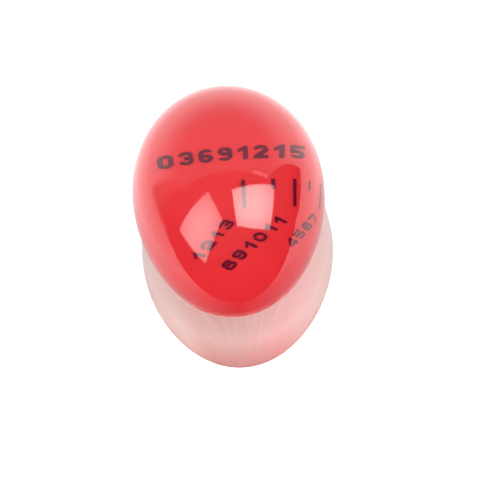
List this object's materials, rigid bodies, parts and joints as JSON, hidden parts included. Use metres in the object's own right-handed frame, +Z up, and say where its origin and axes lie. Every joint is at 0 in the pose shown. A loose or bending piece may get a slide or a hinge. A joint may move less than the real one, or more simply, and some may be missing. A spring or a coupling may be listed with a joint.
{
  "type": "colour-changing kitchen egg timer",
  "caption": "Palm-sized half egg of clear cast resin over a red colour-changing layer with a printed scale, on a clear flared base; boiled in the pan with eggs.",
  "frame": {"origin": "centre of the ground bottom face, at the middle of the timer's length and width", "axes": "+Z up from the table, +Y along the egg towards its blunt end, +X to the right when seen from the narrow end"},
  "size_m": [0.0432, 0.0558, 0.0337],
  "materials": {
    "base_resin": "clear cast resin with polished sides and a finely ground bottom face",
    "red_layer": "opaque red heat-sensitive resin layer",
    "dome_resin": "clear cast resin, polished to a high gloss",
    "ink": "dark printed ink under the clear resin"
  },
  "bodies": {
    "root": {"clear_base": "base_resin", "color_change_layer": "red_layer", "clear_dome": "dome_resin", "title_numbers": "ink", "scale_ticks": "ink", "hard_numbers": "ink", "medium_numbers": "ink", "soft_numbers": "ink"}
  },
  "joints": []
}
